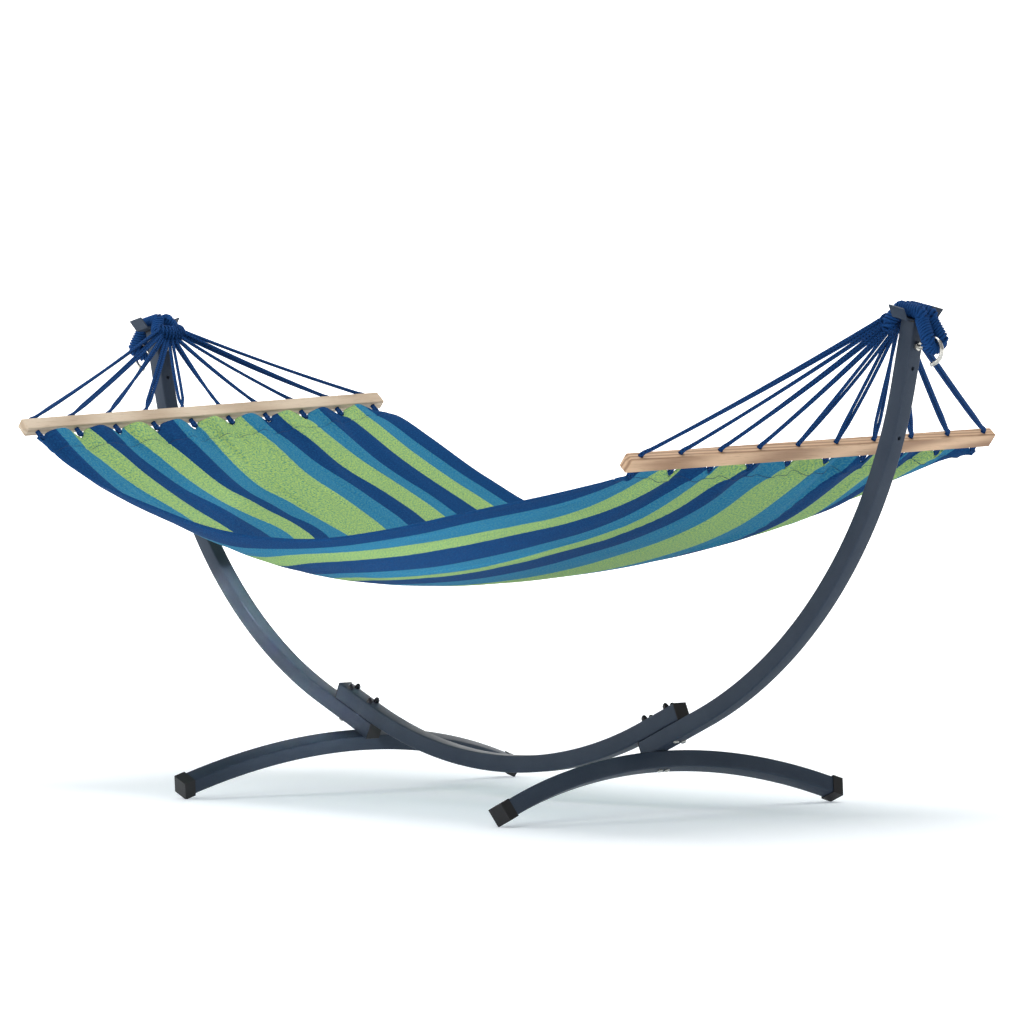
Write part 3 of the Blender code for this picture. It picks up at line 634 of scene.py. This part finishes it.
buildStand()
paintKeptNodes()
print("stand")


# hooks

hook = {"rod": 0.0048, "radius": 0.027, "reach": 0.068, "tail": 0.016, "nut": 0.008, "bevel": 0.0012}


def hookPath():
    middle = Vector((hook["reach"], 0))
    turns = [math.radians(a) for a in np.linspace(140, -56, 40)]
    curl = [middle + Vector((math.cos(t), math.sin(t))) * hook["radius"] for t in turns]
    tail = curl[-1] + Vector((math.sin(turns[-1]), -math.cos(turns[-1]))) * hook["tail"]
    knee = stand["tube"] / 2 + hook["nut"] + 0.006
    rise = smoothPath([(knee, 0, 0), (knee + 0.008, 0.005, 0), (*curl[0], 0)], 8)
    start = [(-stand["tube"] / 2 - 0.006, 0, 0), (stand["tube"] / 2, 0, 0)]
    return start + [tuple(p) for p in rise[:-1]] + [(*p, 0) for p in curl] + [(*tail, 0)]


def buildHooks():
    for side, word in sides.items():
        here, up = armPoint(stand["hookDrop"])
        out = Vector((up.y, -up.x))
        place = axes(direction(side, out), direction(side, up), world(side, here))
        inputs = {"Radius": hook["rod"], "Sides": 24, "Step": 0.002, "Coil": 0.0, "Material": brightZinc}
        mesh = grown("round", [hookPath()], inputs)
        bm = bmesh.new()
        bm.from_mesh(mesh)
        rims = [f for f in bm.faces if len(f.verts) > 8]
        edges = [e for f in rims for e in f.edges]
        bmesh.ops.bevel(bm, geom=edges, offset=hook["bevel"], segments=3, affect="EDGES")
        bmesh.ops.recalc_face_normals(bm, faces=bm.faces)
        bm.to_mesh(mesh)
        bm.free()
        mesh.transform(place)
        mesh.shade_smooth()
        piece("ropeHook" + word.title(), mesh, "stand", ("rope_hook_" + word,))


buildHooks()
print("hooks")


# hammock: bars

barPlace = {1: (1.010, 0.828, math.radians(49)), -1: (-1.098, 0.902, math.radians(42))}
roll = {1: math.radians(2.3), -1: math.radians(3.1)}
rollHeight = 0.70
bar = {"depth": 0.036, "width": 0.026, "length": 1.152}
cordRow = {"count": 10, "span": 1.070, "radius": 0.0040}


def rolled(angle):
    return (Matrix.Translation((0, 0, rollHeight)) @ Matrix.Rotation(angle, 4, "X")
            @ Matrix.Translation((0, 0, -rollHeight)))


def barFrame(side):
    x, z, lean = barPlace[side]
    return rolled(roll[side]) @ axes((0, 1, 0), (side * math.cos(lean), 0, math.sin(lean)), (x, 0, z))


def cordShift(index):
    return -cordRow["span"] / 2 + cordRow["span"] * index / (cordRow["count"] - 1)


for side, word in sides.items():
    for slot in nodes["spreader_bar_" + word].material_slots:
        slot.material = woodFor(side, barPlace[side][2])
print("bars")


# hammock: bed

bed = {
    "length": 2.19, "hemReach": 0.034,      # along the cloth, and from the bar's middle to its end
    "clear": 0.007,                         # bar's face to the hem between cords
    "halfWidth": 0.545, "narrowing": 0.020, "fullness": 2.35,
    "cloth": 0.0016, "hem": 0.0042, "hemDepth": 0.052, "selvedge": 0.011,
    "notch": 0.021, "notchWidth": 0.011,
    "pucker": -0.0085, "puckerReach": 0.080, "fold": 0.0080, "foldReach": 0.42,
    "columns": 300, "rows": 144,
    # share of the way along, then how far near edge, middle and far edge hang down
    "stations": ((0.00, 0.000, 0.000, 0.000), (0.04, 0.057, 0.062, 0.015), (0.10, 0.121, 0.146, 0.064),
                 (0.20, 0.176, 0.256, 0.150), (0.32, 0.217, 0.335, 0.226), (0.45, 0.210, 0.342, 0.214),
                 (0.60, 0.165, 0.307, 0.162), (0.75, 0.105, 0.245, 0.118), (0.88, 0.054, 0.160, 0.070),
                 (1.00, 0.000, 0.000, 0.000)),
    # long creases: place across, its drift along the bed, from and to as shares of the length, depth
    "creases": ((-0.04, 0.95, 0.02, 0.24, 0.011), (0.30, 0.4, 0.02, 0.20, 0.004),
                (-0.12, 0.5, 0.00, 0.13, 0.007), (-0.52, 0.5, 0.01, 0.14, 0.005),
                (0.10, 0.9, 0.78, 0.985, 0.008), (-0.30, 0.5, 0.84, 0.99, 0.004),
                (0.50, -0.4, 0.84, 0.99, 0.005), (-0.62, 0.2, 0.45, 0.88, 0.005)),
    "lip": 0.026, "lipWidth": 0.030,        # near selvedge pulls up
    # cloth borders held here, and at each share of the length where they lie across the bed: folds
    # widen and narrow the stripes between them
    "borders": (0.050, 0.093, 0.149, 0.253, 0.328, 0.436, 0.564, 0.672, 0.851),
    "drift": ((0.00, 0.050, 0.093, 0.143, 0.245, 0.330, 0.455, 0.585, 0.690, 0.880),
              (0.10, 0.060, 0.140, 0.205, 0.302, 0.380, 0.478, 0.640, 0.745, 0.890),
              (0.20, 0.060, 0.160, 0.243, 0.400, 0.460, 0.555, 0.670, 0.782, 0.905),
              (0.40, 0.030, 0.055, 0.100, 0.215, 0.250, 0.400, 0.560, 0.700, 0.890),
              (0.60, 0.030, 0.060, 0.095, 0.215, 0.240, 0.385, 0.540, 0.680, 0.880),
              (0.85, 0.035, 0.085, 0.115, 0.213, 0.235, 0.370, 0.510, 0.650, 0.860),
              (1.00, 0.050, 0.093, 0.149, 0.253, 0.328, 0.440, 0.560, 0.700, 0.851)),
}


def stationValue(share, column, table="stations"):
    rows = np.array(bed[table])
    x, y = rows[:, 0], rows[:, column]
    slopes = np.empty(len(x))
    slopes[1:-1] = (y[2:] - y[:-2]) / (x[2:] - x[:-2])
    slopes[0], slopes[-1] = (y[1] - y[0]) / (x[1] - x[0]), (y[-1] - y[-2]) / (x[-1] - x[-2])
    k = np.clip(np.searchsorted(x, share, side="right") - 1, 0, len(x) - 2)
    width = x[k + 1] - x[k]
    t = (share - x[k]) / width
    return ((2 * t ** 3 - 3 * t ** 2 + 1) * y[k] + (t ** 3 - 2 * t ** 2 + t) * width * slopes[k]
            + (3 * t ** 2 - 2 * t ** 3) * y[k + 1] + (t ** 3 - t ** 2) * width * slopes[k + 1])


def hemPoint(side, reach):
    x, z, lean = barPlace[side]
    return np.array((x - side * math.cos(lean) * reach, z - math.sin(lean) * reach))


def bedSurface(share, across):
    start, end = hemPoint(-1, bed["hemReach"]), hemPoint(1, bed["hemReach"])
    base = start + (end - start) * share[..., None]
    edge = np.where(across < 0, stationValue(share, 1), stationValue(share, 3))
    middle = stationValue(share, 2)
    drop = middle + (edge - middle) * np.abs(across) ** bed["fullness"]
    half = bed["halfWidth"] - bed["narrowing"] * 4 * share * (1 - share)
    x, y, z = base[..., 0], across * half, base[..., 1] - drop - rollHeight
    turn = roll[-1] + (roll[1] - roll[-1]) * share
    flat, tall = y * np.cos(turn) - z * np.sin(turn), rollHeight + y * np.sin(turn) + z * np.cos(turn)
    return np.stack([x, flat, tall], -1)


def waves(seed, place, run):
    # smooth irregular folds: a few sines whose phases drift along the bed
    rng = np.random.default_rng(seed)
    total = np.zeros_like(place)
    for _ in range(5):
        pitch, phase, drift = rng.uniform(0.055, 0.16), rng.uniform(0, 6.28), rng.uniform(-3.5, 3.5)
        total += rng.uniform(0.4, 1.0) * np.sin(2 * math.pi * place / pitch + phase + drift * run)
    return total / 3


def surfaceNormals(points):
    du, dv = np.gradient(points, axis=0), np.gradient(points, axis=1)
    found = np.cross(du, dv)
    return found / np.linalg.norm(found, axis=-1, keepdims=True)


def bedSheet(share, across):
    # middle surface of the cloth with its puckers, folds and creases, and its normals
    points = bedSurface(share, across)
    normals = surfaceNormals(points)
    place = across * bed["halfWidth"]
    lift = np.zeros_like(share)
    for side in (-1, 1):
        run = (share if side < 0 else 1 - share) * bed["length"]
        nearest = np.min([np.abs(place - cordShift(i)) for i in range(cordRow["count"])], axis=0)
        pitch = cordRow["span"] / (cordRow["count"] - 1)
        tuck = np.cos(2 * math.pi * (place - cordShift(0)) / pitch)
        lift += bed["pucker"] * (tuck - 0.4) * np.exp(-run / bed["puckerReach"])
        fading = np.exp(-run / bed["foldReach"])
        lift += bed["fold"] * waves(7 + side, place, run) * fading * (1 - np.exp(-run / 0.03))
        lift += 0.0050 * waves(21 + side, place * 1.7, run * 2) * np.exp(-((run - 0.040) / 0.035) ** 2)
        lift -= 0.0022 * np.exp(-((run - bed["hemDepth"] + 0.006) / 0.004) ** 2)
        # the hem draws up towards the bar, except at the notches that the cords hold
        x, z, lean = barPlace[side]
        towards = np.array((side * math.cos(lean), 0, math.sin(lean)))
        notch = bed["notch"] * np.exp(-(nearest / bed["notchWidth"]) ** 2)
        draw = (bed["hemReach"] - bar["depth"] / 2 - bed["clear"] - notch) * np.exp(-run / 0.022)
        points = points + draw[..., None] * towards
    for middle, drift, start, end, depth in bed["creases"]:
        window = 1 / (1 + np.exp(-(share - start) / 0.012)) / (1 + np.exp((share - end) / 0.03))
        distance = (across - middle - drift * (share - start)) * bed["halfWidth"]
        reach = np.where(distance > 0, 0.020, 0.007)
        lift -= depth * window * np.exp(-np.abs(distance) / reach)
    window = 1 / (1 + np.exp(-(share - 0.07) / 0.02)) / (1 + np.exp((share - 0.42) / 0.05))
    lip = bed["lip"] * window * np.exp(-(across + 1) * bed["halfWidth"] / bed["lipWidth"])
    points = points + [0, 0, 1] * lip[..., None]
    points = points + (lift * np.sign(normals[..., 2]))[..., None] * normals
    normals = surfaceNormals(points)
    return points, normals * np.sign(normals[..., 2:3])


def buildBed():
    n, m = bed["columns"], bed["rows"]
    t = np.linspace(0, 1, n + 1)
    share = t - 0.055 * np.sin(2 * math.pi * t) / (2 * math.pi) * 4                 # finer rows at both hems
    across = np.linspace(-1, 1, m + 1)
    gridShare, gridAcross = np.meshgrid(share, across, indexing="ij")
    points, normals = bedSheet(gridShare, gridAcross)
    run = np.minimum(gridShare, 1 - gridShare) * bed["length"]
    edge = (1 - np.abs(gridAcross)) * bed["halfWidth"]
    thick = np.full_like(run, bed["cloth"])
    hemBand = 1 / (1 + np.exp((run - bed["hemDepth"]) / 0.0015))
    seam = 1 - 0.6 * np.exp(-((run - bed["hemDepth"] + 0.006) / 0.003) ** 2)
    thick += (bed["hem"] - bed["cloth"]) * hemBand * seam
    thick += 0.0016 / (1 + np.exp((edge - bed["selvedge"]) / 0.001))
    top = points + normals * (thick / 2)[..., None]
    low = points - normals * (thick / 2)[..., None]
    count = (n + 1) * (m + 1)
    verts = np.concatenate([top.reshape(-1, 3), low.reshape(-1, 3)])
    index = np.arange(count).reshape(n + 1, m + 1)
    a, b, c, d = index[:-1, :-1], index[1:, :-1], index[1:, 1:], index[:-1, 1:]
    faces = [np.stack([a, b, c, d], -1).reshape(-1, 4), (np.stack([d, c, b, a], -1) + count).reshape(-1, 4)]
    for rim in (index[:, 0], index[-1, :], index[::-1, -1], index[0, ::-1]):
        faces.append(np.stack([rim[1:], rim[:-1], rim[:-1] + count, rim[1:] + count], -1))
    faces = np.concatenate(faces)
    mesh = bpy.data.meshes.new("hammockBed")
    mesh.from_pydata(verts.tolist(), [], faces.tolist())
    layer = mesh.uv_layers.new(name="weave")
    held = np.array((0, *bed["borders"], 1))
    places = np.stack([stationValue(share, column + 1, "drift") for column in range(len(bed["borders"]))], -1)
    woven = np.array([np.interp((across + 1) / 2, (0, *row, 1), held) for row in places])
    flat = np.stack([woven, gridShare * bed["length"]], -1).reshape(-1, 2)
    both = np.concatenate([flat, flat])
    loops = np.empty(len(mesh.loops), np.int64)
    mesh.loops.foreach_get("vertex_index", loops)
    layer.data.foreach_set("uv", both[loops].reshape(-1))
    mesh.materials.append(stripedCotton)
    bm = bmesh.new()
    bm.from_mesh(mesh)
    bmesh.ops.recalc_face_normals(bm, faces=bm.faces)
    bm.to_mesh(mesh)
    bm.free()
    mesh.shade_smooth()
    sheet = piece("hammockBed", mesh, "hammock", ("hammock_bed",))
    lengths = np.linalg.norm(np.diff(points, axis=0), axis=-1).sum(0)
    widths = np.linalg.norm(np.diff(points, axis=1), axis=-1).sum(1)
    print("bed", round(lengths.mean(), 3), "by", round(widths.mean(), 3))
    return sheet, (float(lengths.mean()), float(widths.mean()))


stitch = {"dark": (0.004, 0.020, 0.07, 1), "light": (0.010, 0.045, 0.12, 1), "lift": 0.0013}


def buildStitches():
    thread, tree, shader = newMaterial("stitchThread", 0.8)
    shade = mixColour(tree, noiseOf(tree, objectPlace(tree), 900), stitch["dark"], stitch["light"])
    tree.links.new(shade, shader.inputs["Base Color"])
    tree.links.new(bumped(tree, noiseOf(tree, objectPlace(tree), 2500), 0.4, 0.0003), shader.inputs["Normal"])
    paths = []
    across = np.linspace(-0.985, 0.985, 420)
    for start in (0.0, 1.0):
        share = np.full_like(across, abs(start - (bed["hemDepth"] - 0.006) / bed["length"]))
        block = np.stack([share - 0.001, share, share + 0.001])
        points, normals = bedSheet(block, np.stack([across] * 3))
        for face in (1, -1):
            paths.append(points[1] + face * normals[1] * stitch["lift"])
    inputs = {"Spacing": 0.0050, "Length": 0.0041, "Radius": 0.0008, "Material": thread}
    mesh = grown("stitch", paths, inputs)
    return piece("hemStitches", mesh, "hammock")


bedSheetPiece, bedFlat = buildBed()
stitches = buildStitches()
print("bed")


# hammock: cords, rings and necks

ring = {
    "radius": 0.0158, "core": 0.0120, "wrap": 0.0031, "pitch": 0.0066, "strands": 4,
    "spread": 0.0152, "inner": 0.034,            # half widths over the saddle and at the neck
    "clear": 0.0006, "saddle": 0.007,            # the saddle's plate and its seat, above the arm's top
    "saddleHalf": 0.0225, "hitch": 0.0178,
}
neckReach = 0.050
axisHeight = 1.100


def topFrame(side):
    return axes(direction(side, topOut), (0, side, 0), world(side, armTop))


def neckPoint(side):
    flat = armTop - topAlong * ((armTop.y - axisHeight) / topAlong.y) - Vector((neckReach, 0))
    return Vector((side * flat.x, 0, axisHeight))


def ringPath(side):
    # over both edges of the saddle, round the hook's curl, and back to the neck's bend
    top = ring["clear"] + ring["saddle"]
    edge = ring["radius"] + ring["clear"]
    turns = [(math.radians(a), -1) for a in (125, 108)] + [(math.radians(a), 1) for a in (90, 60, 30, 2)]
    leg = [(half * ring["saddleHalf"] + edge * math.cos(a), top + edge * math.sin(a)) for a, half in turns]
    curlTop = Vector((hook["reach"], hook["radius"] - stand["hookDrop"]))
    bend = ring["radius"] + hook["rod"] + ring["clear"]
    down = [(x, -ring["spread"], z) for x, z in leg]
    bight = [(curlTop.x, -bend * math.cos(a), curlTop.y - bend * math.sin(a))
             for a in np.linspace(0, math.pi, 7)]
    up = [(x, -y, z) for x, y, z in reversed(down)]
    place = topFrame(side)
    outer = [place @ Vector(p) for p in down + bight + up]
    neck = neckPoint(side)
    inner = []
    for a in np.linspace(-70, 70, 7):
        t = math.radians(a)
        inner.append(neck + Vector((side * (0.016 - 0.024 * math.cos(t)), side * ring["inner"] * math.sin(t),
                                    0.006 * math.sin(abs(t)))))
    return outer, inner


def buildRings():
    made = {}
    for side, word in sides.items():
        outer, inner = ringPath(side)
        if (inner[0] - outer[-1]).length > (inner[-1] - outer[-1]).length:
            inner.reverse()
        path = smoothPath([tuple(p) for p in outer + inner], 10, closed=True)
        coreInputs = {"Radius": ring["core"], "Sides": 20, "Step": 0.004, "Coil": 0.0, "Material": navyRope}
        core = grown("round", [path], coreInputs, closed=True)
        wrapInputs = {"Radius": ring["wrap"], "Sides": 8, "Step": ring["pitch"] / 7,
                      "Coil": ring["core"] + 0.0007, "Pitch": ring["pitch"] * ring["strands"],
                      "Material": navyWhipping}
        wraps = [grown("round", [path], {**wrapInputs, "Phase": strand / ring["strands"]}, closed=True)
                 for strand in range(ring["strands"])]
        mesh = joined([core] + wraps)
        obj = piece("ropeRing" + word.title(), mesh, None, ("eye_loop_" + word,))
        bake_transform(obj)
        made[side] = inner
    return made


cord = {
    "separation": 0.0041, "inHole": 0.0023,         # a strand from its pair's middle, free and in a hole
    "sag": 0.005,
    "twist": 0.28, "bulge": (-0.0012, 0.0020), "steps": 26, "bight": 0.0052,
}


def cordPath(side, index):
    rng = np.random.default_rng(100 + 20 * side + index)
    frameOf = barFrame(side)
    shift = cordShift(index)
    share = shift / (cordRow["span"] / 2)
    neck = neckPoint(side)
    lobe = 0.012 * (1 - 0.5 * abs(share))
    start = neck + Vector((-side * lobe, share * 0.040, -0.016 + 0.024 * abs(share)))
    mouth = frameOf @ Vector((shift, bar["depth"] / 2 + 0.004, 0))
    run = mouth - start
    across = run.cross(Vector((0, 0, 1))).normalized()
    other = run.cross(across).normalized()
    legs = []
    twist, bulge = rng.uniform(-cord["twist"], cord["twist"]), max(0.0, rng.uniform(*cord["bulge"]))
    holeSide = (frameOf.to_3x3() @ Vector((1, 0, 0))).normalized()
    for sign in (-1, 1):
        points = []
        for k in range(cord["steps"] + 1):
            t = k / cord["steps"]
            angle = twist * 6.2832 * (1 - t)
            apart = cord["separation"] + bulge * math.sin(math.pi * t)
            free = (across * math.cos(angle) + other * math.sin(angle)) * apart * sign
            held = holeSide * (cord["inHole"] * sign)
            blend = max(0.0, min(1.0, (t - 0.82) / 0.18))
            blend = blend * blend * (3 - 2 * blend)
            sag = Vector((0, 0, -cord["sag"] * 4 * t * (1 - t)))
            points.append(start + run * t + sag + free * (1 - blend) + held * blend)
        legs.append(points)
    reach = bar["depth"] / 2 + bed["clear"] + bed["notch"] * 0.55
    below = -bar["depth"] / 2 - 0.002
    low = [frameOf @ Vector((sign * cord["inHole"] + shift, below, 0)) for sign in (-1, 1)]
    bight = [frameOf @ Vector((shift - cord["bight"] * math.cos(a), -reach - cord["bight"] * math.sin(a), 0.0))
             for a in np.linspace(0, math.pi, 9)]
    wrap = neck + Vector((side * 0.004, share * 0.034, 0.012))
    path = [wrap] + legs[0] + [low[0]] + bight + [low[1]] + legs[1][::-1] + [wrap + Vector((0, 0.005, 0))]
    return smoothPath([tuple(p) for p in path], 3)


def buildCords(inners):
    for side, word in sides.items():
        paths = [cordPath(side, i) for i in range(cordRow["count"])]
        inputs = {"Radius": cordRow["radius"], "Sides": 12, "Step": 0.006, "Coil": 0.0, "Material": navyRope}
        cords = grown("round", paths, inputs)
        piece("cords" + word.title(), cords, "hammock", ("cord_fan_" + word,))
        bend = smoothPath([tuple(p) for p in inners[side]], 8)
        inputs = {"Radius": ring["wrap"], "Sides": 10, "Step": 0.0002, "Coil": ring["hitch"],
                  "Pitch": ring["pitch"], "Material": navyRope}
        hitches = grown("round", [bend], inputs)
        piece("neckHitches" + word.title(), hitches, "hammock")


buildCords(buildRings())
print("cords and rings")


# floor

floor = {
    "height": -0.0002, "frontLip": 4, "backLip": 32,            # a wide dish, raised behind the object
    # each ring's reach and its share of the lip
    "rings": ((2, 0), (10, 0), (22, 0), (30, 0.03), (35, 0.1), (38, 0.25), (40, 1)),
    "colour": (0.90, 0.91, 0.92), "glowNear": 0.24, "glowFar": 1.05, "glowTint": (0.80, 0.90, 1.0),
}


def buildFloor():
    made, tree, shader = newMaterial("floor", 0.9)
    cloud = noiseOf(tree, objectPlace(tree), 3, 3)
    paler = tuple(min(1, c * 1.03) for c in floor["colour"]) + (1,)
    tree.links.new(mixColour(tree, cloud, (*floor["colour"], 1), paler), shader.inputs["Base Color"])
    far = addNode(tree, "ShaderNodeVectorMath", {0: objectPlace(tree)}, operation="LENGTH").outputs["Value"]
    glow = ranged(tree, far, 1.4, 6, floor["glowNear"], floor["glowFar"])
    tree.links.new(glow, shader.inputs["Emission Strength"])
    tint = mixColour(tree, ranged(tree, far, 1.4, 5), (*floor["glowTint"], 1), (1, 1, 1, 1))
    tree.links.new(tint, shader.inputs["Emission Color"])
    shader.inputs["Specular IOR Level"].default_value = 0.05
    around, behind = 72, math.radians(camera["azimuth"] + 90)
    verts = [(0, 0, floor["height"])]
    for reach, share in floor["rings"]:
        for i in range(around):
            angle = 2 * math.pi * i / around
            towardsBack = max(0, math.cos(angle - behind)) ** 2
            tall = floor["frontLip"] + (floor["backLip"] - floor["frontLip"]) * towardsBack
            verts.append((reach * math.cos(angle), reach * math.sin(angle), floor["height"] + share * tall))
    faces = [(0, 1 + i, 1 + (i + 1) % around) for i in range(around)]
    for k in range(len(floor["rings"]) - 1):
        for i in range(around):
            a, b = 1 + k * around + i, 1 + k * around + (i + 1) % around
            faces.append((a, a + around, b + around, b))
    mesh = bpy.data.meshes.new("floor")
    mesh.from_pydata(verts, [], faces)
    mesh.materials.append(made)
    obj = bpy.data.objects.new("floor", mesh)
    bpy.context.scene.collection.objects.link(obj)


buildFloor()
